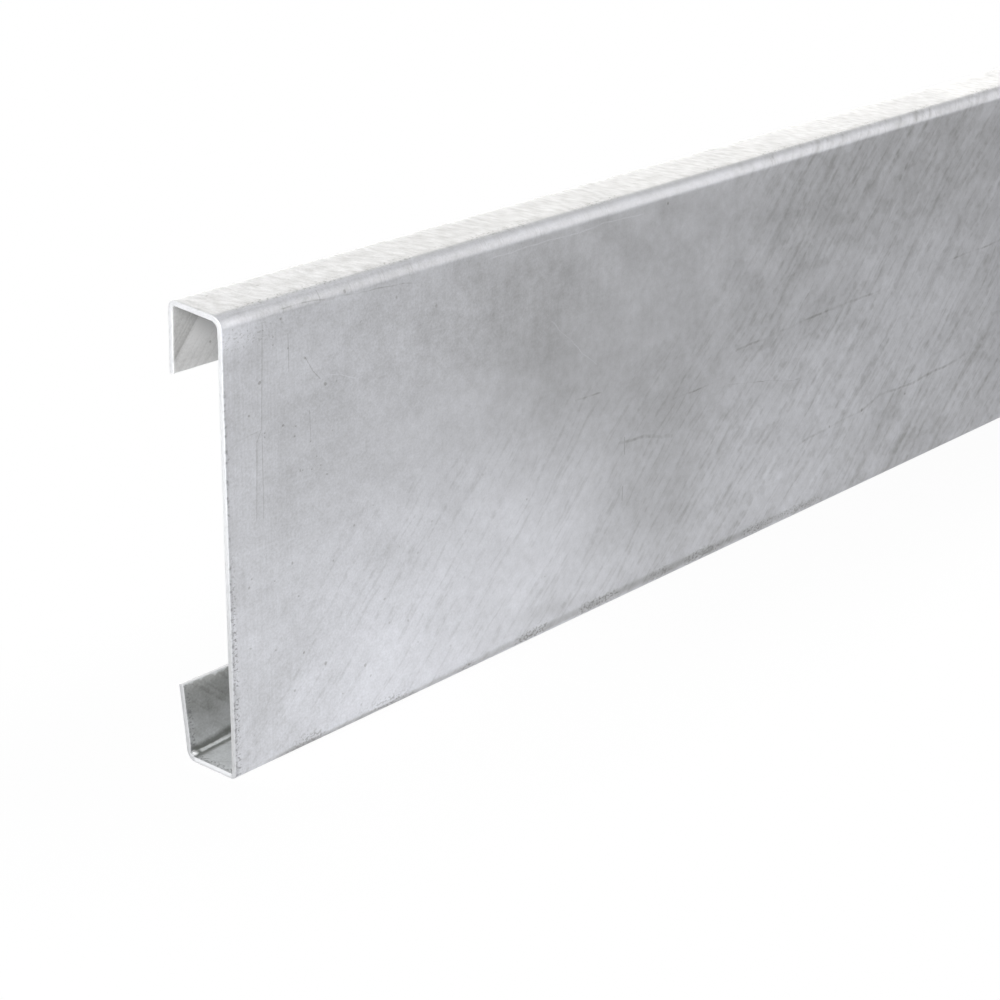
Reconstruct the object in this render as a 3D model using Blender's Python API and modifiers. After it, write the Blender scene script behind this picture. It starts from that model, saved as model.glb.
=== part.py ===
"""C purlin: one length of lipped channel, folded from sheet steel and hot-dip galvanised.

The purlin runs along X and stands on its bottom flange. The outer face of its web looks towards -Y and
the open side of the section towards +Y. The origin is the middle of the box around it, at floor level.
All lengths are in metres and all angles in degrees.
"""
import math

import bmesh
import bpy
from mathutils import Vector

OBJECT_NAME = "c_purlin"

# Stock length and sheet thickness
LENGTH = 3.000
SHEET = 0.0025

# Widths of the folds, each measured over the outer faces, from corner to corner or from corner to edge
WEB_DEPTH = 0.200
TOP_FLANGE = 0.0305
BOTTOM_FLANGE = 0.0295
TOP_LIP = 0.0310
BOTTOM_LIP = 0.0340

# How far each fold stands open from square
TOP_FLANGE_RISE = 4.0
TOP_LIP_LEAN = 1.5
BOTTOM_LIP_LEAN = 6.5

# Inner radius of each bend, and the flat steps that a bend is made of
TOP_WEB_BEND = 0.0035
TOP_LIP_BEND = 0.0014
BOTTOM_WEB_BEND = 0.0011
BOTTOM_LIP_BEND = 0.0023
BEND_STEPS = 10

# Finish
ZINC_COLOR = (0.56, 0.58, 0.61, 1.0)
ZINC_ROUGHNESS = 0.45
ZINC_METALLIC = 0.9

# Bends of less than this are shaded smooth
SMOOTH_ANGLE = 30.0


def clear_scene():
    for scene_object in list(bpy.data.objects):
        bpy.data.objects.remove(scene_object, do_unlink=True)


def zinc_material():
    material = bpy.data.materials.new("galvanised_zinc")
    material.use_nodes = True
    surface = material.node_tree.nodes["Principled BSDF"]
    surface.inputs["Base Color"].default_value = ZINC_COLOR
    surface.inputs["Roughness"].default_value = ZINC_ROUGHNESS
    surface.inputs["Metallic"].default_value = ZINC_METALLIC
    return material


def along(angle_from_y, length):
    """A step in the section's plane, at an angle in degrees from +Y towards +Z."""
    angle = math.radians(angle_from_y)
    return Vector((0.0, math.cos(angle), math.sin(angle))) * length


def section_corners():
    """Sharp corners of the outer face, from the bottom lip's edge round to the top lip's edge."""
    web_foot = Vector((0.0, 0.0, 0.0))
    web_head = Vector((0.0, 0.0, WEB_DEPTH))
    top_corner = web_head + along(TOP_FLANGE_RISE, TOP_FLANGE)
    top_edge = top_corner + along(TOP_LIP_LEAN - 90.0, TOP_LIP)
    bottom_corner = web_foot + along(0.0, BOTTOM_FLANGE)
    bottom_edge = bottom_corner + along(90.0 - BOTTOM_LIP_LEAN, BOTTOM_LIP)
    return [bottom_edge, bottom_corner, web_foot, web_head, top_corner, top_edge]


def bend_arc(before, corner, after, outer_radius):
    """Points of the round bend that replaces a sharp corner of the outer face."""
    to_before = (before - corner).normalized()
    to_after = (after - corner).normalized()
    half_angle = to_before.angle(to_after) / 2.0
    centre = corner + (to_before + to_after).normalized() * (outer_radius / math.sin(half_angle))
    tangent_length = outer_radius / math.tan(half_angle)
    spoke = corner + to_before * tangent_length - centre
    last_spoke = corner + to_after * tangent_length - centre
    turn = spoke.rotation_difference(last_spoke)
    points = []
    for step in range(BEND_STEPS + 1):
        part_turn = turn.copy()
        part_turn.angle = turn.angle * step / BEND_STEPS
        points.append(centre + part_turn @ spoke)
    return points


def outer_face_path():
    """The section's outer face, with its four bends rounded, as one open line of points."""
    corners = section_corners()
    inner_radii = [BOTTOM_LIP_BEND, BOTTOM_WEB_BEND, TOP_WEB_BEND, TOP_LIP_BEND]
    path = [corners[0]]
    for number, inner_radius in enumerate(inner_radii, start=1):
        before, corner, after = corners[number - 1:number + 2]
        path += bend_arc(before, corner, after, inner_radius + SHEET)
    path.append(corners[-1])
    middle = (min(point.y for point in path) + max(point.y for point in path)) / 2.0
    return [point - Vector((0.0, middle, 0.0)) for point in path]


def folded_sheet(name, material):
    """The outer face as an open surface over the whole length, thickened inwards to the sheet."""
    shell = bmesh.new()
    start = [shell.verts.new(point - Vector((LENGTH / 2.0, 0.0, 0.0))) for point in outer_face_path()]
    edges = [shell.edges.new(pair) for pair in zip(start, start[1:])]
    drawn = bmesh.ops.extrude_edge_only(shell, edges=edges)
    end = [part for part in drawn["geom"] if isinstance(part, bmesh.types.BMVert)]
    bmesh.ops.translate(shell, verts=end, vec=(LENGTH, 0.0, 0.0))
    mesh = bpy.data.meshes.new(name)
    shell.to_mesh(mesh)
    shell.free()
    mesh.materials.append(material)
    mesh.shade_smooth()
    mesh.set_sharp_from_angle(angle=math.radians(SMOOTH_ANGLE))

    purlin = bpy.data.objects.new(name, mesh)
    thickness = purlin.modifiers.new("sheet_thickness", "SOLIDIFY")
    thickness.thickness = SHEET
    thickness.offset = -1.0
    thickness.use_even_offset = True
    return purlin


def build():
    clear_scene()
    collection = bpy.data.collections.new("c_purlin_parts")
    bpy.context.scene.collection.children.link(collection)
    collection.objects.link(folded_sheet(OBJECT_NAME, zinc_material()))


build()
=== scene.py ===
"""C purlin: the finish of one length of lipped channel, hot-dip galvanised and cut at both ends.

The frame's plain solid is replaced by one finely divided sheet, folded to the same section, with rounded and
slightly uneven edges and a gentle sway in its web. Lengths are in metres and angles in degrees. The purlin
runs along X, the outer face of its web looks towards -Y, and its near cut end is the one at -X.
"""
import math

import bpy
import numpy as np
from mathutils import Matrix, Vector, noise


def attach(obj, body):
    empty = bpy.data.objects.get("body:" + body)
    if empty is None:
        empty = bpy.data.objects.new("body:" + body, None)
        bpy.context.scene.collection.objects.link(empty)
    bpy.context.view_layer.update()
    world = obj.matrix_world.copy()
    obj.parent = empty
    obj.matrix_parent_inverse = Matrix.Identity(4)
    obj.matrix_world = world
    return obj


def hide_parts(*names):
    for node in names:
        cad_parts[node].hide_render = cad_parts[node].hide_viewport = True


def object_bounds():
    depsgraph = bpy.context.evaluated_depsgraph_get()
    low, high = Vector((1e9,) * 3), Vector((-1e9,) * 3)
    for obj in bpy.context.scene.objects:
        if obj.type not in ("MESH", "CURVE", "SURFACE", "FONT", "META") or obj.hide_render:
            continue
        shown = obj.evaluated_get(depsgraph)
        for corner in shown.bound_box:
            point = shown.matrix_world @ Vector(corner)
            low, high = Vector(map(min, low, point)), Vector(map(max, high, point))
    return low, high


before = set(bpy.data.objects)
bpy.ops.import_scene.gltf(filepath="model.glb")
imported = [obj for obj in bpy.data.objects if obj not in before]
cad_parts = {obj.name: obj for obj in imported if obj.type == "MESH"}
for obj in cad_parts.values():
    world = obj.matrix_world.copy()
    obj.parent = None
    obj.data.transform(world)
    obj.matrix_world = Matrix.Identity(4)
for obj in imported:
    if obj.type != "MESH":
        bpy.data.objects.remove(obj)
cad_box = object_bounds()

PURLIN = "c_purlin"

# Section, measured over the outer faces as in the frame
SHEET = 0.0025
WEB_DEPTH = 0.200
TOP_FLANGE = 0.0305
BOTTOM_FLANGE = 0.0295
TOP_LIP = 0.0310
BOTTOM_LIP = 0.0340
TOP_FLANGE_RISE = 4.0
TOP_LIP_LEAN = 1.5
BOTTOM_LIP_LEAN = 6.5

# Inner radius of each bend, from the bottom lip round to the top lip
BEND_RADII = (0.0023, 0.0011, 0.0035, 0.0014)

# How finely the sheet is divided
BEND_STEPS = 14
FLAT_STEP = 0.0045
WEB_STEP = 0.0065
END_STEP = 0.0011
END_GROWTH = 1.06
LENGTH_STEP = 0.0145
RIM_STEPS = 3

# Unevenness that hot zinc and a saw leave behind
EDGE_ROUND = 0.00045
EDGE_NICK = 0.00035
NICK_REACH = 0.0012
ARRIS_WANDER = 0.8
SAW_WANDER = 0.00018
SAW_REACH = 0.004
WEB_SWAY = 0.00035

# Zinc left standing in the two lower inner corners, and as a bead at the ends of the one at the lip
CORNER_FILLET = 0.00045
LIP_FILLET_REACH = 0.0016
FOOT_FILLET_REACH = 0.0013
BEAD_HEIGHT = 0.0011
BEAD_REACH = 0.0015
BEAD_FROM_END = 0.0022
BEAD_HALF_LENGTH = 0.0021

# The direction in which the zinc ran off, from the length towards the top of the web, and how it strays
DRAIN_ANGLE = 44.0
DRAIN_BOW = 0.03
DRAIN_RIPPLE = 0.004

# How far long scratches waver in metres, and how deep the hammered surface is in millimetres
WAVER = 0.004
HAMMERED_HEIGHT = 0.05

# Zinc as a metal, before its marks change it
ZINC_ROUGHNESS = 0.42
ZINC_METALLIC = 0.75

# Zinc from its dullest to its palest, the tints of its faces, and the coat on the cut and lip edges
ZINC_DULL = (0.302, 0.3005, 0.296, 1.0)
ZINC_BRIGHT = (0.90, 0.907, 0.952, 1.0)
NEAR_END_TINT = (1.0, 1.001, 1.006, 1.0)
FLANGE_TINT = (1.03, 1.02, 0.975, 1.0)
TOP_LIP_TINT = (1.02, 1.0, 0.945, 1.0)
FOOT_INSIDE_TINT = (0.99, 1.0, 0.964, 1.0)
# Painted shade in the groove round the lower fillet
GROOVE_SHADE_TINT = (0.70, 0.71, 0.70, 1.0)
# White for the blob and the bottom flange's cut, partly a painted highlight
WHITE_ZINC_AND_HIGHLIGHT = (1.0, 1.0, 1.0, 1.0)
EDGE_ZINC = (0.74, 0.742, 0.752, 1.0)
# Dirt on the cut and along it, partly painted shade: under the bottom flange's cut and along the cut's outer
# edge
EDGE_DIRT_AND_SHADE = (0.25, 0.25, 0.255, 1.0)

# Runs round the section: the bend between bottom flange and lip, then the top bend and what lies beside it
INNER_CORNER = -0.0282
UNDER_TOP_BEND = 0.1885
# Where the lamp's highlight on the top bend peaks, darkened there by painted shade
TOP_BEND_HIGHLIGHT_PEAK = 0.1963
TOP_BEND = 0.1966
FLANGE_START = 0.2030

# The pale fillet in that lower bend, partly a painted highlight: how far it climbs the lip away from the cut,
# and how ragged it is
FILLET_CLIMB = 0.004
FILLET_RAGGEDNESS = 0.0016

# Camera, placed from the cut end's lower corner of the web
CAMERA_FROM_CORNER = (-0.62008, -0.68459, 0.48472)
CAMERA_HEADING = 41.1035
CAMERA_PITCH = 21.3458
CAMERA_ROLL = 0.5394
CAMERA_LENS = 89.628
CAMERA_SENSOR = 36.0


def section_corners():
    """Sharp corners of the outer face as (y, z), from the bottom lip's edge round to the top lip's edge."""
    def along(angle, length):
        return Vector((math.cos(math.radians(angle)), math.sin(math.radians(angle)))) * length

    web_foot = Vector((cad_box[0].y, cad_box[0].z))
    web_head = web_foot + along(90.0, WEB_DEPTH)
    top_corner = web_head + along(TOP_FLANGE_RISE, TOP_FLANGE)
    top_edge = top_corner + along(TOP_LIP_LEAN - 90.0, TOP_LIP)
    bottom_corner = web_foot + along(0.0, BOTTOM_FLANGE)
    bottom_edge = bottom_corner + along(90.0 - BOTTOM_LIP_LEAN, BOTTOM_LIP)
    return [bottom_edge, bottom_corner, web_foot, web_head, top_corner, top_edge]


def rim_distances():
    """Distances from a free edge to the rows that round it."""
    return [EDGE_ROUND * (1.0 - math.cos(math.radians(angle))) for angle in (0.0, 30.0, 60.0, 90.0)]


def even_distances(start, end, step):
    """Distances from start to end, both included, in equal steps of about the given size."""
    count = max(1, round((end - start) / step))
    return list(np.linspace(start, end, count + 1))


def section_rows():
    """Rows of the outer face: distance round the section, (y, z), outward direction and share of bend.

    The distance is 0 in the middle of the bend at the web's foot, so that on the web it is the height.
    """
    corners = section_corners()
    directions = [(end - start).normalized() for start, end in zip(corners, corners[1:])]
    turns = [first.angle(second) for first, second in zip(directions, directions[1:])]
    radii = [inner + SHEET for inner in BEND_RADII]
    trims = [0.0] + [radius * math.tan(turn / 2.0) for radius, turn in zip(radii, turns)] + [0.0]
    rows = []
    run = 0.0
    for leg, direction in enumerate(directions):
        outward = Vector((-direction.y, direction.x))
        first = trims[leg]
        last = (corners[leg + 1] - corners[leg]).length - trims[leg + 1]
        step = WEB_STEP if last > WEB_DEPTH / 2.0 else FLAT_STEP
        if leg == 0:
            distances = rim_distances() + even_distances(EDGE_ROUND, last, step)[1:]
        elif leg == len(directions) - 1:
            rim = [last - distance for distance in reversed(rim_distances())]
            distances = even_distances(first, last - EDGE_ROUND, step)[:-1] + rim
        else:
            distances = even_distances(first, last, step)
        for distance in distances:
            rows.append((run + distance - first, corners[leg] + direction * distance, outward, 0.0))
        run += last - first
        if leg < len(turns):
            radius, turn = radii[leg], turns[leg]
            centre = corners[leg] + direction * last - outward * radius
            for part in range(1, BEND_STEPS):
                share = part / BEND_STEPS
                spoke = Matrix.Rotation(-turn * share, 2) @ outward
                rows.append((run + radius * turn * share, centre + spoke * radius, spoke,
                             math.sin(math.pi * share)))
            if leg == 1:
                foot = run + radius * turn / 2.0
            run += radius * turn
    return [(distance - foot, point, outward, fold) for distance, point, outward, fold in rows]


def length_columns():
    """Distances along the purlin from its near end, close together at both cut ends."""
    length = cad_box[1].x - cad_box[0].x
    distances = rim_distances()
    step = END_STEP
    while step < LENGTH_STEP:
        distances.append(distances[-1] + step)
        step *= END_GROWTH
    distances += even_distances(distances[-1], length / 2.0, LENGTH_STEP)[1:]
    return distances + [length - distance for distance in reversed(distances[:-1])]


def wander(place, scale, seed):
    """A smooth, repeatable unevenness between about -1 and 1 along a line."""
    return noise.noise(Vector((place * scale, seed, seed * 0.37)))


def edge_inset(distance):
    """How far a face falls back at a distance from a free edge, so that the edge is round."""
    if distance >= EDGE_ROUND:
        return 0.0
    return EDGE_ROUND - math.sqrt(EDGE_ROUND ** 2 - (EDGE_ROUND - distance) ** 2)


def hump(offset, width):
    """1 at no offset, falling smoothly to nearly 0 at twice the width."""
    return math.exp(-(offset / width) ** 2)


# The bake map: its border, the gap between its strips and the relative heights of these
BAKE_EDGE = 0.003
BAKE_GAP = 0.004
OUTER_HALF = 250
INNER_HALF = 218
LIP_EDGE_HALF = 7
CUT_END = 13


def stacked_strips(heights):
    """Strips of the given relative heights, one above the other, each as (lowest, highest)."""
    room = 1.0 - 2.0 * BAKE_EDGE - BAKE_GAP * (len(heights) - 1)
    unit = room / sum(heights)
    strips = []
    low = BAKE_EDGE
    for height in heights:
        strips.append((low, low + height * unit))
        low += height * unit + BAKE_GAP
    return strips


BAKE_STRIPS = stacked_strips(
    [OUTER_HALF] * 2 + [INNER_HALF] * 2 + [LIP_EDGE_HALF] * 4 + [CUT_END] * 2)
SIDE_STRIPS = BAKE_STRIPS[0:4]
LIP_EDGE_STRIPS = BAKE_STRIPS[4:8]
CUT_END_STRIPS = BAKE_STRIPS[8:10]


def strip_place(along_share, across_share, strip):
    low, high = strip
    return BAKE_EDGE + along_share * (1.0 - 2.0 * BAKE_EDGE), low + across_share * (high - low)


def bake_place(inside, half, along, across, sheet):
    strip = SIDE_STRIPS[2 * int(inside) + half]
    return strip_place(along / (sheet.length / 2.0), across / (sheet.last_run - sheet.first_run), strip)


class FoldedSheet:
    """Points, faces and texture places of the purlin's one sheet."""

    def __init__(self):
        self.rows = section_rows()
        self.columns = length_columns()
        self.length = self.columns[-1]
        self.first_run = self.rows[0][0]
        self.last_run = self.rows[-1][0]
        self.points = []
        self.fold = []
        self.rim = []
        self.inside = []
        self.faces = []
        self.sheet_places = []
        self.bake_places = []

    def free_edge_distances(self, along, run):
        """Distances to the nearer cut end and to the nearer lip edge."""
        return min(along, self.length - along), min(run - self.first_run, self.last_run - run)

    def surface_point(self, along, row, inside):
        run, centre, outward, fold = row
        to_end, to_lip = self.free_edge_distances(along, run)
        rough_arris = 1.0 + ARRIS_WANDER * wander(along * 3.0 + run, 330.0, 1.0 + inside)
        depth = rough_arris * max(edge_inset(to_end), edge_inset(to_lip))
        if inside:
            depth = SHEET - depth - self.inner_build_up(along, run)
        depth += self.web_sway(along, run)
        towards_middle = Vector((outward.y, -outward.x)) * (1.0 if run < 0.0 else -1.0)
        nick = max(0.0, wander(along, 160.0, 3.0) + 0.4 * wander(along, 620.0, 9.0))
        flat = centre - outward * depth + towards_middle * EDGE_NICK * nick * hump(to_lip, NICK_REACH)
        near = along < self.length / 2.0
        saw = SAW_WANDER * (1.0 + wander(run, 70.0, 5.0 if near else 6.0)) / 2.0 * hump(to_end, SAW_REACH)
        x = cad_box[0].x + along + (saw if near else -saw)
        return Vector((x, flat.x, flat.y))

    def web_sway(self, along, run):
        """Inward sway of the web, nothing at its bends."""
        if not 0.0 < run < WEB_DEPTH:
            return 0.0
        held = math.sin(math.pi * run / WEB_DEPTH) ** 2
        slow = noise.noise(Vector((along * 3.1, run * 7.0, 2.0)))
        quick = noise.noise(Vector((along * 17.0, run * 19.0, 8.0)))
        return WEB_SWAY * held * (0.5 + 0.4 * slow + 0.12 * quick)

    def inner_build_up(self, along, run):
        """Zinc left standing in the inner corners, and as a bead in the lower one at each cut end."""
        lip_corner = -BOTTOM_FLANGE
        lower = hump(run - lip_corner, LIP_FILLET_REACH) * (0.7 + 0.5 * wander(along, 90.0, 4.0))
        foot = hump(run, FOOT_FILLET_REACH) * (0.6 + 0.4 * wander(along, 60.0, 7.0))
        to_end = min(along, self.length - along)
        bead = hump(run - lip_corner, BEAD_REACH) * hump(to_end - BEAD_FROM_END, BEAD_HALF_LENGTH)
        return CORNER_FILLET * max(0.0, lower + foot) + BEAD_HEIGHT * bead

    def add_point(self, point, fold, rim, inside):
        """Keeps a point, held inside the frame's box, and gives its number."""
        low, high = cad_box
        self.points.append([min(max(value, least), most) for value, least, most in zip(point, low, high)])
        self.fold.append(fold)
        self.rim.append(rim)
        self.inside.append(inside)
        return len(self.points) - 1

    def add_grid(self, inside):
        grid = []
        for row in self.rows:
            line = []
            for along in self.columns:
                to_edge = min(self.free_edge_distances(along, row[0]))
                rim = max(0.0, 1.0 - to_edge / (2.0 * EDGE_ROUND))
                point = self.surface_point(along, row, inside)
                line.append(self.add_point(point, row[3], rim, float(inside)))
            grid.append(line)
        return grid

    def add_face(self, corners, places, bake_places):
        self.faces.append(corners)
        self.sheet_places += places
        self.bake_places += bake_places

    def skin(self, grid, inside):
        """Faces of one side, with its two halves side by side in the bake map."""
        middle = len(self.columns) // 2
        for row in range(len(self.rows) - 1):
            for column in range(len(self.columns) - 1):
                around = [(row, column), (row, column + 1), (row + 1, column + 1), (row + 1, column)]
                if inside:
                    around.reverse()
                half = 0 if column < middle else 1
                places = [(self.columns[c], self.rows[r][0]) for r, c in around]
                bake = [bake_place(inside, half, self.columns[c] - half * self.length / 2.0,
                                   self.rows[r][0] - self.first_run, self) for r, c in around]
                self.add_face([grid[r][c] for r, c in around], places, bake)

    def close_rim(self, outer, inner):
        """The narrow face all round the sheet, from the outer side to the inner side."""
        last_row, last_column = len(self.rows) - 1, len(self.columns) - 1
        loop = [(0, column) for column in range(last_column)]
        loop += [(row, last_column) for row in range(last_row)]
        loop += [(last_row, column) for column in range(last_column, 0, -1)]
        loop += [(row, 0) for row in range(last_row, 0, -1)]
        layers = [[outer[r][c] for r, c in loop]]
        for layer in range(1, RIM_STEPS):
            share = layer / RIM_STEPS
            layers.append([self.rim_point(outer[r][c], inner[r][c], share, self.rows[r][3]) for r, c in loop])
        layers.append([inner[r][c] for r, c in loop])
        for layer in range(RIM_STEPS):
            for step, (start, end) in enumerate(zip(loop, loop[1:] + loop[:1])):
                following = (step + 1) % len(loop)
                corners = [layers[layer][following], layers[layer][step],
                           layers[layer + 1][step], layers[layer + 1][following]]
                around = [(end, layer), (start, layer), (start, layer + 1), (end, layer + 1)]
                self.add_face(corners, [self.rim_sheet_place(*each) for each in around],
                              [self.rim_bake_place(start, end, *each) for each in around])

    def rim_point(self, outer, inner, share, fold):
        point = Vector(self.points[outer]).lerp(Vector(self.points[inner]), share)
        return self.add_point(point, fold, 1.0, share)

    def rim_sheet_place(self, spot, layer):
        row, column = spot
        past = SHEET * layer / RIM_STEPS
        along, run = self.columns[column], self.rows[row][0]
        if column in (0, len(self.columns) - 1):
            return along + (past if column else -past), run
        return along, run + (past if row else -past)

    def rim_bake_place(self, start, end, spot, layer):
        """Place in the bake map: each lip edge in two halves, each cut end in one strip."""
        share = layer / RIM_STEPS
        half_length = self.length / 2.0
        if start[0] == end[0] and start[0] in (0, len(self.rows) - 1):
            half = 0 if min(self.columns[start[1]], self.columns[end[1]]) < half_length - 1e-6 else 1
            strip = LIP_EDGE_STRIPS[(1 if start[0] else 0) * 2 + half]
            return strip_place((self.columns[spot[1]] - half * half_length) / half_length, share, strip)
        strip = CUT_END_STRIPS[1 if start[1] else 0]
        return strip_place((self.rows[spot[0]][0] - self.first_run) / (self.last_run - self.first_run),
                           share, strip)


def make_purlin(finish):
    sheet = FoldedSheet()
    outer = sheet.add_grid(inside=False)
    inner = sheet.add_grid(inside=True)
    sheet.skin(outer, inside=False)
    sheet.skin(inner, inside=True)
    sheet.close_rim(outer, inner)
    mesh = bpy.data.meshes.new("galvanised_sheet")
    mesh.from_pydata(sheet.points, [], sheet.faces)
    for name, places in (("sheet", sheet.sheet_places), ("OFBake", sheet.bake_places)):
        layer = mesh.uv_layers.new(name=name)
        layer.data.foreach_set("uv", np.array(places, dtype=np.float32).ravel())
    for name, values in (("fold", sheet.fold), ("rim", sheet.rim), ("inside", sheet.inside)):
        mesh.attributes.new(name, "FLOAT", "POINT").data.foreach_set("value", values)
    mesh.materials.append(finish)
    mesh.shade_smooth()
    mesh.validate()
    purlin = bpy.data.objects.new("galvanised_sheet", mesh)
    bpy.context.scene.collection.objects.link(purlin)
    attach(purlin, "root")
    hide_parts(PURLIN)


class Value:
    """One output of a node. Arithmetic on it adds Math nodes to the same finish."""

    def __init__(self, finish, socket):
        self.finish = finish
        self.socket = socket

    def math(self, operation, *values):
        return self.finish.node("ShaderNodeMath", {"operation": operation}, dict(enumerate(values)))

    def __add__(self, other):
        return self.math("ADD", self, other)

    __radd__ = __add__

    def __sub__(self, other):
        return self.math("SUBTRACT", self, other)

    def __rsub__(self, other):
        return self.math("SUBTRACT", other, self)

    def __mul__(self, other):
        return self.math("MULTIPLY", self, other)

    __rmul__ = __mul__

    def __abs__(self):
        return self.math("ABSOLUTE", self)

    def larger(self, other):
        return self.math("MAXIMUM", self, other)


class Finish:
    """The node tree of a material or of the world while it is being written."""

    def __init__(self, owner):
        owner.use_nodes = True
        self.tree = owner.node_tree
        self.tree.nodes.clear()

    def node(self, kind, settings=None, sockets=None, output=0):
        """Adds a node: its settings first, then a value or a link for each socket named."""
        made = self.tree.nodes.new(kind)
        for setting, value in (settings or {}).items():
            setattr(made, setting, value)
        for name, value in (sockets or {}).items():
            socket = made.inputs[name]
            if isinstance(name, str):
                socket = next(each for each in made.inputs if each.name == name and each.enabled)
            if isinstance(value, Value):
                self.tree.links.new(value.socket, socket)
            else:
                socket.default_value = value
        result = made.outputs[output] if made.outputs else None
        if isinstance(output, str):
            result = next(each for each in made.outputs if each.name == output and each.enabled)
        return Value(self, result)

    def rise(self, value, low, high):
        """0 below low and 1 above high, with a soft slope between them; low may be the larger."""
        return self.node("ShaderNodeMapRange", {"interpolation_type": "SMOOTHSTEP"},
                         {"Value": value, "From Min": low, "From Max": high}, "Result")

    def place(self, x, y, z=0.0):
        return self.node("ShaderNodeCombineXYZ", None, {"X": x, "Y": y, "Z": z})

    def noise(self, place, detail=2.0, roughness=0.5):
        return self.node("ShaderNodeTexNoise", None, {
            "Vector": place, "Scale": 1.0, "Detail": detail, "Roughness": roughness}, "Fac")

    def part(self, vector, axis):
        return self.node("ShaderNodeSeparateXYZ", None, {0: vector}, axis)

    def tinted(self, amount, colour, tint):
        """The colour, multiplied by the tint where the amount is 1."""
        return self.node("ShaderNodeMix", {"data_type": "RGBA", "blend_type": "MULTIPLY"},
                         {"Factor": amount, "A": colour, "B": tint}, "Result")

    def tint(self, amount, first, second):
        """The first colour where the amount is 0 and the second where it is 1."""
        return self.node("ShaderNodeMix", {"data_type": "RGBA"},
                         {"Factor": amount, "A": first, "B": second}, "Result")

    def attribute(self, name):
        return self.node("ShaderNodeAttribute", {"attribute_name": name}, None, "Fac")


# Scratches seen on the near end of the web: half width, then the places they run through as (along, height)
LONG_SCRATCHES = (
    (0.0009, ((0.338, 0.1050), (0.390, 0.1070), (0.470, 0.1086))),
    (0.0011, ((0.398, 0.0402), (0.460, 0.0440), (0.476, 0.0478), (0.512, 0.0476), (0.567, 0.0505))),
    (0.0004, ((0.0322, 0.1958), (0.0640, 0.1947), (0.1112, 0.1904))),
    (0.0009, ((0.536, 0.1106), (0.598, 0.1120))),
    (0.0006, ((0.290, 0.0922), (0.323, 0.0930))),
    (0.0004, ((0.335, 0.0895), (0.398, 0.0764))),
    (0.0012, ((0.2513, 0.0808), (0.2697, 0.0794), (0.2911, 0.0747))),
    (0.0006, ((0.217, 0.1110), (0.235, 0.1101))),
    (0.0003, ((0.0040, 0.1466), (0.0200, 0.1488))),
)
UPRIGHT_SCRATCHES = (
    (0.00030, ((0.0218, 0.1930), (0.0201, 0.1490), (0.0173, 0.1440), (0.0160, 0.1100))),
    (0.00022, ((0.0202, 0.1490), (0.0199, 0.1090))),
    (0.00030, ((0.0356, 0.1850), (0.0357, 0.1690))),
    (0.00022, ((0.0468, 0.1500), (0.0472, 0.1370))),
    (0.00028, ((0.0447, 0.1732), (0.0491, 0.1661), (0.0530, 0.1620))),
    (0.00045, ((0.2540, 0.0826), (0.2544, 0.0748))),
    (0.00045, ((0.2537, 0.0578), (0.2534, 0.0518))),
)
PALE_SCRATCHES = (
    (0.0005, ((0.155, 0.1912), (0.265, 0.1906))),
    (0.0003, ((0.0560, 0.1625), (0.0760, 0.1565))),
    (0.0004, ((0.198, 0.1535), (0.232, 0.1240))),
)

# Pits seen there: along, height and radius
PITS = (
    (0.0274, 0.1855, 0.0006), (0.0273, 0.1822, 0.0005), (0.0354, 0.1790, 0.0006),
    (0.0447, 0.1726, 0.0006), (0.0389, 0.1452, 0.0006), (0.0471, 0.1365, 0.0006),
    (0.0504, 0.1291, 0.0005), (0.0526, 0.1246, 0.0005), (0.0423, 0.1252, 0.0005),
    (0.0474, 0.1242, 0.0005), (0.0217, 0.1467, 0.0005), (0.0216, 0.1450, 0.0005),
    (0.2815, 0.1915, 0.0010), (0.1833, 0.0719, 0.0007), (0.0123, 0.0864, 0.0006),
    (0.0250, 0.0815, 0.0005), (0.0384, 0.0705, 0.0006), (0.0246, 0.0506, 0.0006),
    (0.1969, 0.0295, 0.0005), (0.0632, 0.0170, 0.0006), (0.0060, 0.1935, 0.0005),
    (0.4595, 0.0440, 0.0014), (0.5020, 0.0425, 0.0010), (0.4290, 0.0425, 0.0010),
)

# Paler and darker patches on the web: middle, reach, turn in degrees and change of shade
PATCHES = (
    ((0.130, 0.045), (0.170, 0.110), 0.0, 0.20),
    ((0.085, 0.025), (0.060, 0.050), 0.0, 0.06),
    ((0.200, 0.050), (0.060, 0.050), 0.0, 0.07),
    ((0.200, 0.135), (0.090, 0.050), -35.0, -0.15),
    ((0.280, 0.080), (0.070, 0.120), 0.0, -0.12),
    ((0.200, 0.180), (0.150, 0.060), 0.0, -0.08),
    ((0.380, 0.045), (0.110, 0.080), 0.0, 0.14),
    ((0.500, 0.090), (0.160, 0.110), 0.0, 0.14),
    ((0.470, 0.160), (0.140, 0.040), -10.0, -0.08),
    ((0.205, 0.011), (0.055, 0.006), -8.0, -0.10),
    ((0.005, 0.1915), (0.022, 0.013), 0.0, 0.36),
    ((0.047, 0.120), (0.050, 0.035), -15.0, -0.03),
    ((0.250, 0.016), (0.060, 0.020), 10.0, 0.13),
    ((0.030, 0.036), (0.042, 0.013), 42.0, -0.12),
)


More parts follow.
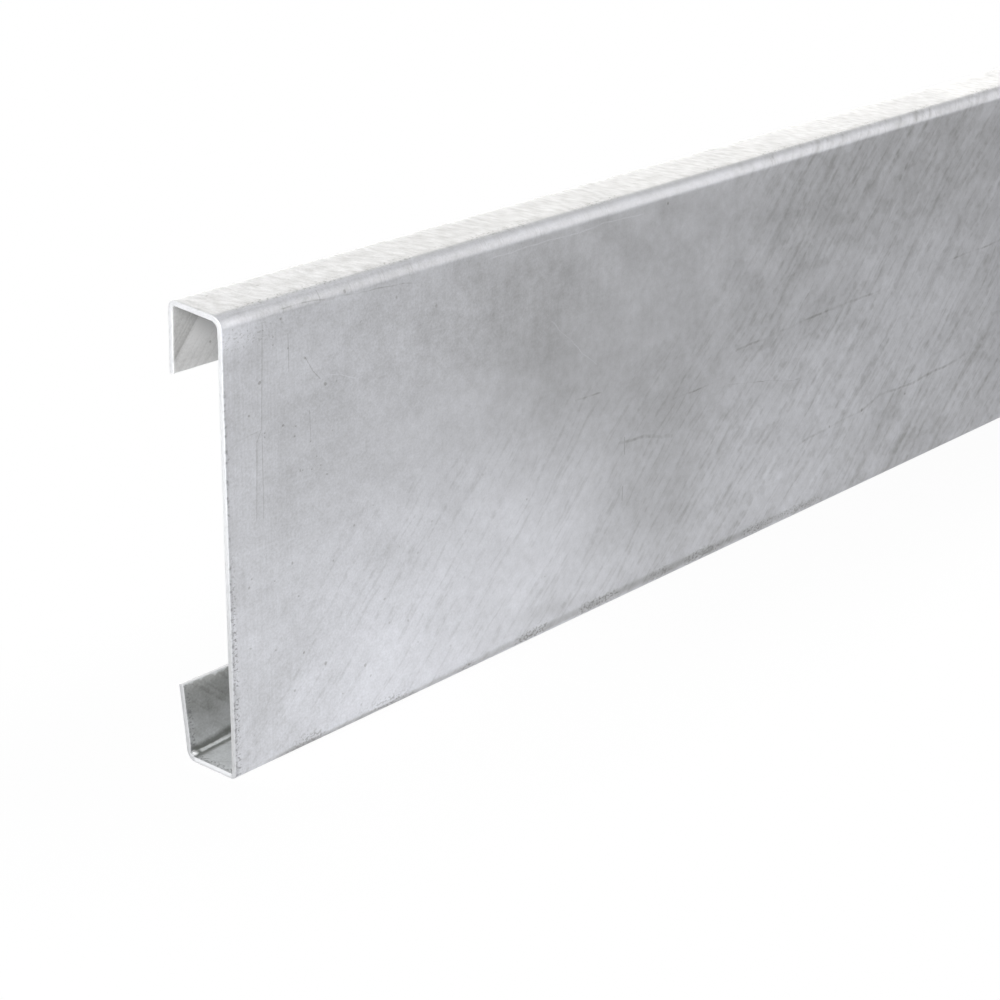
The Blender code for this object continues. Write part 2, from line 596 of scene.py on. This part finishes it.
class GalvanisedZinc(Finish):
    """Hot-dip zinc, drawn on the unrolled sheet: distance along the purlin and run round its section.

    On the outer side of the web the run is the height above the floor. Shades are shares of the way from
    dull to bright zinc.
    """

    def __init__(self, owner):
        super().__init__(owner)
        self.sheet = self.node("ShaderNodeUVMap", {"uv_map": "sheet"})
        self.along = self.part(self.sheet, "X")
        self.run = self.part(self.sheet, "Y")
        self.fold = self.attribute("fold")
        self.rim = self.attribute("rim")
        self.inside = self.attribute("inside")
        self.outer_side = 1.0 - self.inside
        half_length = (cad_box[1].x - cad_box[0].x) / 2.0
        self.from_cut = half_length - abs(self.along - half_length)
        self.set_drain()
        self.set_zones()
        self.set_unevenness()
        self.set_lower_corner()
        self.dark_scratches = self.web_scratches()

    def set_drain(self):
        """Distances down the drained zinc and across it, where it bows and ripples a little."""
        angle = math.radians(DRAIN_ANGLE)
        bow = self.pattern(5.0, 5.0, 0.0, 1.0) - 0.5
        ripple = self.pattern(48.0, 48.0, 1.0, 1.0) - 0.5
        straight_across = self.along * math.sin(angle) - self.run * math.cos(angle)
        self.down = self.along * math.cos(angle) + self.run * math.sin(angle)
        self.across = straight_across + bow * DRAIN_BOW + ripple * DRAIN_RIPPLE

    def set_zones(self):
        """Parts of the sheet that have a look of their own, 1 on the part and 0 off it."""
        self.near_end = self.rise(self.along, 0.22, 0.03)
        self.web = self.rise(self.run, 0.2015, 0.1950) * self.outer_side
        self.flange = self.rise(self.run, 0.1995, 0.2035) * self.outer_side
        self.bottom_flange = self.rise(self.run, -0.026, -0.023) * self.rise(self.run, 0.0, -0.003)
        self.top_lip = self.rise(self.run, 0.215, 0.232)
        self.cut_face = self.rise(self.rim, 0.60, 0.95)

    def set_unevenness(self):
        """Noises that several marks share."""
        self.hammered = self.pattern(210.0, 210.0, 2.0, 1.0, 0.6)
        self.mottle = self.pattern(42.0, 50.0, 7.0, 2.0, 0.6) - 0.5
        self.grain = self.pattern(850.0, 850.0, 9.0, 1.0, 0.7) - 0.5
        self.speckle = self.pattern(620.0, 900.0, 14.0, 1.0, 0.6)
        self.crumbs = self.pattern(420.0, 420.0, 15.0, 1.0, 0.7)
        self.clumps = self.rise(self.pattern(36.0, 36.0, 16.0, 1.0), 0.42, 0.58)
        self.brush_marks = self.noise(self.place(self.along * 900.0, self.run * 20.0), 1.0)
        self.broken = self.rise(self.hammered, 0.66, 0.38) * 0.6 + 0.4
        waver = self.mottle * WAVER
        self.wavy_sheet = self.place(self.along + waver, self.run + waver)
        self.edge_specks = self.rise(self.crumbs, 0.50, 0.66)

    def set_lower_corner(self):
        """The pale fillet in the lower inner corner, partly a painted highlight, the groove round it,
        darkened as painted shade, and the blob at its end, painted white, partly as the bead's highlight.
        """
        corner = INNER_CORNER - self.rise(self.along, 0.0, 0.045) * FILLET_CLIMB
        from_fillet = abs(self.run - corner) + (self.crumbs - 0.5) * FILLET_RAGGEDNESS
        self.fillet = self.rise(from_fillet, 0.0021, 0.0009) * self.rise(self.from_cut, 0.0044, 0.0058)
        self.groove = self.rise(abs(self.run - corner), 0.0062, 0.0032)
        self.blob = self.pit(0.0012, INNER_CORNER, 0.0032) * self.inside

    def pattern(self, along_rate, run_rate, layer, detail=2.0, roughness=0.5):
        """Noise that changes so many times a metre along the purlin and round its section."""
        place = self.place(self.along * along_rate, self.run * run_rate, self.inside * 5.0 + layer)
        return self.noise(place, detail, roughness)

    def drained(self, down_rate, across_rate, layer, detail=2.0, roughness=0.5):
        """Noise that changes so many times a metre along the drained zinc and across it."""
        place = self.place(self.down * down_rate, self.across * across_rate, self.inside * 5.0 + layer)
        return self.noise(place, detail, roughness)

    def pit(self, along, run, radius):
        """A small spot of the given radius, by its place on the sheet."""
        away = self.node("ShaderNodeVectorMath", {"operation": "DISTANCE"},
                         {0: self.sheet, 1: (along, run, 0.0)}, "Value")
        return self.rise(away, radius, radius * 0.3)

    def spot(self, place, middle, reach, turn):
        """Two coordinates round a spot on the sheet, each 1 at its reach along its turned axis."""
        away = self.node("ShaderNodeVectorMath", {"operation": "SUBTRACT"},
                         {0: place, 1: (*middle, 0.0)}, "Vector")
        coordinates = []
        for size, angle in zip(reach, (turn, turn + math.pi / 2.0)):
            axis = (math.cos(angle) / size, math.sin(angle) / size, 0.0)
            coordinates.append(self.node("ShaderNodeVectorMath", {"operation": "DOT_PRODUCT"},
                                         {0: away, 1: axis}, "Value"))
        return coordinates

    def patch(self, place, middle, reach, turn):
        """A soft oval patch, 1 in the middle and 0 at its reach."""
        x, y = self.spot(place, middle, reach, math.radians(turn))
        away = self.node("ShaderNodeVectorMath", {"operation": "LENGTH"}, {0: self.place(x, y)}, "Value")
        return self.rise(away, 1.0, 0.0)

    def scratch(self, place, start, end, half_width):
        """A scratch between two places on the sheet, with tapering ends."""
        run_along, run_up = end[0] - start[0], end[1] - start[1]
        middle = (start[0] + end[0]) / 2.0, (start[1] + end[1]) / 2.0
        half_length = math.hypot(run_along, run_up) / 2.0 + 2.0 * half_width
        x, y = self.spot(place, middle, (half_length, half_width), math.atan2(run_up, run_along))
        return self.rise(abs(y), 1.0, 0.2) * self.rise(abs(x), 1.0, 0.88)

    def scratches(self, place, paths):
        """All the stretches of some scratches, each given as (half width, places along it)."""
        drawn = 0.0
        for half_width, places in paths:
            for start, end in zip(places, places[1:]):
                drawn = self.scratch(place, start, end, half_width).larger(drawn)
        return drawn

    def web_scratches(self):
        """The web's dark scratches: broken ones that run lengthwise, and thin upright ones."""
        lengthwise = self.scratches(self.wavy_sheet, LONG_SCRATCHES) * self.broken
        lengthwise = lengthwise * (self.clumps * 0.7 + 0.3)
        return self.scratches(self.sheet, UPRIGHT_SCRATCHES).larger(lengthwise)

    def pale_scratches(self):
        return self.scratches(self.wavy_sheet, PALE_SCRATCHES) * self.broken

    def pits(self):
        """The pits that are seen one by one, and fine ones all over the near end."""
        pits = self.rise(self.pattern(330.0, 330.0, 13.0, 0.0), 0.80, 0.88) * self.near_end
        for along, run, radius in PITS:
            pits = self.pit(along, run, radius).larger(pits)
        return pits

    def patches(self):
        patches = 0.0
        for middle, reach, turn, change in PATCHES:
            patches = self.patch(self.sheet, middle, reach, turn) * change + patches
        return patches

    def flow_streaks(self):
        """Streaks and strands of the drained zinc, on the low web and on the whole web further along."""
        low_web = self.rise(self.run - self.along * 0.05, 0.125, 0.085)
        far_web = self.rise(self.along - self.run * 0.3, 0.22, 0.36)
        streaked = (self.rise(self.along - self.run * 0.9, -0.085, 0.03) * low_web).larger(far_web)
        fibres = self.drained(12.0, 190.0, 3.0, 2.0, 0.6) - 0.5
        coarse_strands = self.rise(self.drained(17.0, 190.0, 4.0, 2.0, 0.6), 0.50, 0.72)
        thin_strands = self.rise(self.drained(22.0, 400.0, 5.0, 1.0, 0.6), 0.50, 0.68)
        flakes = self.rise(self.pattern(75.0, 100.0, 6.0, 2.0, 0.7), 0.52, 0.62)
        broad = self.drained(15.0, 95.0, 17.0, 1.0) - 0.5
        broad = broad * self.rise(self.along - self.run * 0.6, 0.30, 0.46).larger(low_web * 0.4)
        strands = coarse_strands * far_web * 0.17 + thin_strands * streaked * 0.11
        return (fibres * 0.28 - flakes * 0.08) * far_web + broad * 0.22 - strands * self.broken

    def coat(self):
        """Shade of the plain coat: streaks, clouds, mottling and grain, and ripples on the top flange."""
        hammered_zone = self.patch(self.sheet, (0.150, 0.172), (0.150, 0.050), 0.0) * self.outer_side
        clouds = self.pattern(9.0, 10.0, 8.0, 1.0) - 0.5
        slanted = self.along + self.run * 0.25
        ripple_place = self.place(slanted * 320.0 + self.mottle * 1.5, self.run * 140.0)
        ripples = self.noise(ripple_place, 1.0, 0.7) - 0.5
        shade = 0.5 + self.flow_streaks() * (1.0 - self.flange) + self.flange * ripples * 0.60
        shade = shade + self.mottle * 0.28 + (self.hammered - 0.5) * (0.20 + hammered_zone * 0.09)
        return shade + clouds * 0.12 + self.grain * (0.20 + self.near_end * 0.19 + hammered_zone * 0.13)

    def top_bend_painted_light(self):
        """The top bend: painted light that shapes the lamp's highlight into a flat band, a little paler along
        the band and darker at its peak and near the cut end, with fine dark lines across it.
        """
        band = self.rise(abs(self.run - TOP_BEND), 0.0034, 0.0022)
        peak = self.rise(abs(self.run - TOP_BEND_HIGHLIGHT_PEAK), 0.0020, 0.0002)
        near = self.rise(self.along, 0.20, 0.06)
        lines = self.rise(self.brush_marks, 0.58, 0.68) * self.clumps
        return band * (0.08 - near * 0.18 - lines * 0.16) - peak * 0.12

    def top_specks(self):
        """Dark specks where the top flange begins, and under the top bend at the cut ends."""
        at_flange = self.rise(abs(self.run - FLANGE_START), 0.0034, 0.0004)
        at_flange = at_flange * self.rise(self.speckle, 0.53, 0.66) * (self.clumps * 0.8 + 0.2)
        under_bend = self.rise(abs(self.run - UNDER_TOP_BEND), 0.0055, 0.002)
        under_bend = under_bend * self.rise(self.from_cut, 0.045, 0.010) * self.rise(self.speckle, 0.54, 0.70)
        return at_flange + under_bend * 0.7

    def foot_line_shade_and_specks(self):
        """The dark, speckled line along the foot of the web, partly a painted reflection of the floor's
        shadow and partly dark specks, and loose specks above it.
        """
        above_foot = abs(self.run - self.rise(self.along, 0.06, 0.26) * 0.0032 - 0.0008)
        specks = self.rise(self.speckle, 0.46, 0.58) * (self.clumps * 0.6 + 0.4)
        specks = specks.larger(self.rise(self.along, 0.13, 0.07) * 0.35 + 0.45)
        # Painted shade: the floor's shadow as the web reflects it, broken by specks
        line = self.rise(above_foot, 0.0028, 0.0004) * (specks * 0.85 + 0.15)
        loose = self.rise(self.run, 0.0085, 0.0035) * self.rise(self.speckle, 0.52, 0.60) * self.clumps
        marks = line * 0.50 + loose * 0.36
        return marks * self.rise(self.along, 0.012, 0.035) * self.rise(self.along, 0.50, 0.30)

    def top_lip_painted_light(self):
        """Inside of the top lip: painted light, paler towards its top and paler overall, with thin strands,
        and a painted shadow as a darker wedge at the near end.
        """
        slope = self.along + self.run * 0.84
        wedge = self.rise(slope, 0.2125, 0.2110) * 0.42
        wedge_shadow_edge = self.rise(abs(slope - 0.2120), 0.0024, 0.0004) * 0.17
        strands = self.rise(self.noise(self.place(slope * 560.0, self.run * 45.0), 1.0, 0.6), 0.48, 0.66)
        # Painted light on the whole lip and more towards its top, less the painted shadow of the wedge
        return self.rise(self.run, 0.256, 0.234) * 0.34 + 0.29 - wedge - wedge_shadow_edge - strands * 0.10

    def inner_faces(self):
        """Inside: a pale fillet, partly a painted highlight, in a groove of painted shade, a dull bottom lip
        with pale drips, and painted light on the top lip and the bottom flange.
        """
        drips = self.rise(self.run + self.hammered * 0.006, -0.0575, -0.0588)
        bottom_lip = self.rise(self.run, -0.0290, -0.0310)
        dull_lip = self.rise(self.run + self.mottle * 0.02, -0.043, -0.051)
        top_lip_pit = self.pit(0.0199, 0.2478, 0.0008)
        # The fillet is paler, partly a painted highlight; the groove round it is darkened as painted shade
        shade = self.fillet * (self.crumbs * 0.30 + 0.19) - self.groove * 0.40
        # The bottom flange's inside is painted paler, as light that the lamps don't give
        shade = shade + drips * (0.25 + self.crumbs * 0.35) + self.bottom_flange * 0.22
        shade = shade - bottom_lip * 0.08 - dull_lip * 0.23
        return shade + self.top_lip * self.top_lip_painted_light() - top_lip_pit * 0.5

    def shade(self):
        """Share of the way from dull to bright zinc."""
        brushed = (self.brush_marks - 0.5) * self.rise(self.from_cut, 0.070, 0.005)
        # Painted sheen on the bottom bend, where it reflects the white floor
        painted_foot_sheen = self.rise(self.run, 0.0024, 0.0008)
        # Pale scratches, with the painted sheen of the bottom bend and the painted light of the top bend
        pale_marks_and_painted_light = self.pale_scratches() * 0.14 + painted_foot_sheen * 0.08 + self.top_bend_painted_light()
        # Dark scratches, pits and specks, with the painted shade of the foot line
        dark_marks_and_painted_shade = self.dark_scratches * 0.24 + self.pits() * 0.34 + self.top_specks() * 0.40
        dark_marks_and_painted_shade = dark_marks_and_painted_shade + self.foot_line_shade_and_specks()
        shade = self.coat() + self.inner_faces() * self.inside
        shade = shade + (self.patches() + brushed * 0.16) * self.web
        return shade + (pale_marks_and_painted_light - dark_marks_and_painted_shade) * self.outer_side

    def arris(self):
        """Dark marks on the outer side along the cut: crumbs on its edge, which also stand as painted shade
        along that edge, and speckles low on the web.
        """
        crumbs = self.rise(self.from_cut, 0.0022, 0.0006) * (self.edge_specks * 0.7 + 0.3)
        crumbs = crumbs * self.rise(self.run, 0.190, 0.155)
        speckles = self.rise(self.from_cut, 0.0045, 0.0020) * self.rise(self.speckle, 0.54, 0.62)
        return crumbs.larger(speckles * self.rise(self.run, 0.12, 0.06)) * (1.0 - self.cut_face)

    def with_cut_edges(self, colour):
        """The cut edges over the given colour: pale and speckled, duller low on the web and on the lip; the
        bottom flange's cut is whiter, partly a painted highlight, and darker on its outer, downward side,
        which is painted shade.
        """
        dull = self.rise(self.run, 0.12, 0.04) * (0.37 - self.bottom_flange * 0.45)
        flange_cut = self.cut_face * self.bottom_flange
        flange_under_shade = self.rise(self.inside, 0.55, 0.20)
        colour = self.tint(self.cut_face, colour, EDGE_ZINC)
        colour = self.tint(self.cut_face * (self.edge_specks * 0.16 + dull), colour, EDGE_DIRT_AND_SHADE)
        colour = self.tint(flange_cut * 0.12, colour, WHITE_ZINC_AND_HIGHLIGHT)
        # Painted shade on the outer, downward part of the bottom flange's cut
        return self.tint(flange_cut * flange_under_shade * 0.27, colour, EDGE_DIRT_AND_SHADE)

    def colour(self):
        colour = self.tint(self.shade(), ZINC_DULL, ZINC_BRIGHT)
        colour = self.tinted(self.near_end, colour, NEAR_END_TINT)
        colour = self.tinted(self.flange, colour, FLANGE_TINT)
        colour = self.tinted(self.inside * self.top_lip, colour, TOP_LIP_TINT)
        colour = self.tinted(self.inside * (1.0 - self.top_lip), colour, FOOT_INSIDE_TINT)
        # Painted shade in the groove
        colour = self.tinted(self.inside * self.groove * (1.0 - self.fillet), colour, GROOVE_SHADE_TINT)
        # The blob painted white, partly as the bead's highlight
        colour = self.tint(self.blob, colour, WHITE_ZINC_AND_HIGHLIGHT)
        colour = self.tint(self.arris() * 0.80, colour, EDGE_DIRT_AND_SHADE)
        return self.with_cut_edges(colour)

    def roughness(self):
        uneven = self.grain * 0.2 + self.mottle * 0.2
        return ZINC_ROUGHNESS + uneven + self.dark_scratches * 0.1 + self.fold * 0.04

    def metallic(self):
        """Less metal where the coat is thick or matt: on free edges, inside, and on fillet and blob."""
        return ZINC_METALLIC - self.rim * 0.35 - self.inside * (0.15 + self.fillet * 0.3) - self.blob * 0.6

    def relief(self):
        """The hammered surface, with its height in millimetres."""
        height = (self.hammered - 0.5) * HAMMERED_HEIGHT
        return self.node("ShaderNodeBump", None, {"Strength": 1.0, "Distance": 0.001, "Height": height})


def galvanised_zinc():
    material = bpy.data.materials.new("galvanised_zinc")
    zinc = GalvanisedZinc(material)
    surface = zinc.node("ShaderNodeBsdfPrincipled", None, {
        "Base Color": zinc.colour(), "Roughness": zinc.roughness(), "Metallic": zinc.metallic(),
        "Normal": zinc.relief()})
    zinc.node("ShaderNodeOutputMaterial", None, {"Surface": surface})
    return material


# The studio's walls are white and its ceiling is dimmer, from the first of two heights to the second
CEILING_SHADE = 0.26
CEILING_HEIGHTS = (0.56, 0.70)

# Its floor is white to the camera and greyer in the metal. Its shadows show near the purlin and fade out
# from the second of two distances to the first.
FLOOR_PAINT = (0.9, 0.9, 0.9, 1.0)
FLOOR_REACH = 30.0
FLOOR_GLOW_IN_METAL = 0.37
SHADOWS_AT_THE_FOOT = 0.05
SHADOW_DISTANCES = (0.16, 0.02)


def studio_world():
    world = bpy.data.worlds.new("studio")
    bpy.context.scene.world = world
    studio = Finish(world)
    camera_ray = studio.node("ShaderNodeLightPath", None, None, "Is Camera Ray")
    metal_ray = studio.node("ShaderNodeLightPath", None, None, "Is Glossy Ray")
    glass_ray = studio.node("ShaderNodeLightPath", None, None, "Is Transmission Ray")
    upwards = studio.part(studio.node("ShaderNodeTexCoord", None, None, "Generated"), "Z")
    walls = 1.0 - studio.rise(upwards, *CEILING_HEIGHTS) * CEILING_SHADE
    reflected = metal_ray.larger(glass_ray)
    strength = camera_ray + (1.0 - camera_ray) * reflected * walls
    light = studio.node("ShaderNodeBackground", None, {"Color": (1.0, 1.0, 1.0, 1.0), "Strength": strength})
    studio.node("ShaderNodeOutputWorld", None, {"Surface": light})


def studio_floor():
    material = bpy.data.materials.new("studio_floor")
    floor = Finish(material)
    paint = floor.node("ShaderNodeBsdfDiffuse", None, {"Color": FLOOR_PAINT})
    glow = floor.node("ShaderNodeEmission", None, {"Strength": 1.0})
    camera_ray = floor.node("ShaderNodeLightPath", None, None, "Is Camera Ray")
    metal_ray = floor.node("ShaderNodeLightPath", None, None, "Is Glossy Ray")
    glass_ray = floor.node("ShaderNodeLightPath", None, None, "Is Transmission Ray")
    across = floor.part(floor.node("ShaderNodeTexCoord", None, None, "Object"), "Y")
    shadows = floor.rise(abs(across), *SHADOW_DISTANCES) * SHADOWS_AT_THE_FOOT
    shown_white = camera_ray * (1.0 - shadows) + metal_ray.larger(glass_ray) * FLOOR_GLOW_IN_METAL
    shown = floor.node("ShaderNodeMixShader", None, {0: shown_white, 1: paint, 2: glow})
    floor.node("ShaderNodeOutputMaterial", None, {"Surface": shown})
    mesh = bpy.data.meshes.new("studio_floor")
    reach = FLOOR_REACH
    mesh.from_pydata([(-reach, -reach, 0.0), (reach, -reach, 0.0), (reach, reach, 0.0), (-reach, reach, 0.0)],
                     [], [(0, 1, 2, 3)])
    mesh.materials.append(material)
    ground = bpy.data.objects.new("studio_floor", mesh)
    bpy.context.scene.collection.objects.link(ground)


def soft_box(name, place, target, size, brightness, colour=(1.0, 1.0, 1.0)):
    """A rectangular lamp whose face has the given brightness, where 1 is white."""
    lamp = bpy.data.lights.new(name, "AREA")
    lamp.shape = "RECTANGLE"
    lamp.size, lamp.size_y = size
    lamp.energy = brightness * math.pi * size[0] * size[1]
    lamp.color = colour
    box = bpy.data.objects.new(name, lamp)
    box.location = place
    box.rotation_euler = (Vector(target) - Vector(place)).to_track_quat("-Z", "Y").to_euler()
    box.visible_camera = False
    bpy.context.scene.collection.objects.link(box)


def studio_lamps():
    near = cad_box[0].x
    soft_box("key_soft_box", (near - 0.6, -0.4, 0.59), (near, -0.05, 0.03), (0.5, 0.5), 14.6,
             (0.98, 0.99, 1.0))
    soft_box("back_strip_light", (near + 2.5, 2.0, 0.75), (near + 0.6, 0.0, 0.1), (5.0, 0.7), 3.25,
             (1.0, 0.99, 0.975))
    soft_box("right_soft_box", (near + 2.6, -1.9, 1.15), (near + 0.4, 0.0, 0.2), (1.8, 2.0), 1.1)


def photo_camera():
    """The camera at the photograph's viewing angle."""
    heading, pitch, roll = (math.radians(angle) for angle in (CAMERA_HEADING, CAMERA_PITCH, CAMERA_ROLL))
    forward = Vector((math.cos(pitch) * math.cos(heading), math.cos(pitch) * math.sin(heading),
                      -math.sin(pitch)))
    level = Vector((math.sin(heading), -math.cos(heading), 0.0))
    upright = level.cross(forward)
    right = level * math.cos(roll) + upright * math.sin(roll)
    up = upright * math.cos(roll) - level * math.sin(roll)
    camera = bpy.data.cameras.new("photo_camera")
    camera.lens = CAMERA_LENS
    camera.sensor_width = CAMERA_SENSOR
    viewer = bpy.data.objects.new("photo_camera", camera)
    web_corner = Vector((cad_box[0].x, cad_box[0].y, cad_box[0].z))
    turn = Matrix((right, up, -forward)).transposed()
    viewer.matrix_world = Matrix.Translation(web_corner + Vector(CAMERA_FROM_CORNER)) @ turn.to_4x4()
    bpy.context.scene.collection.objects.link(viewer)
    bpy.context.scene.camera = viewer


bpy.context.scene.view_settings.view_transform = "Standard"
photo_camera()
make_purlin(galvanised_zinc())
studio_world()
studio_floor()
studio_lamps()
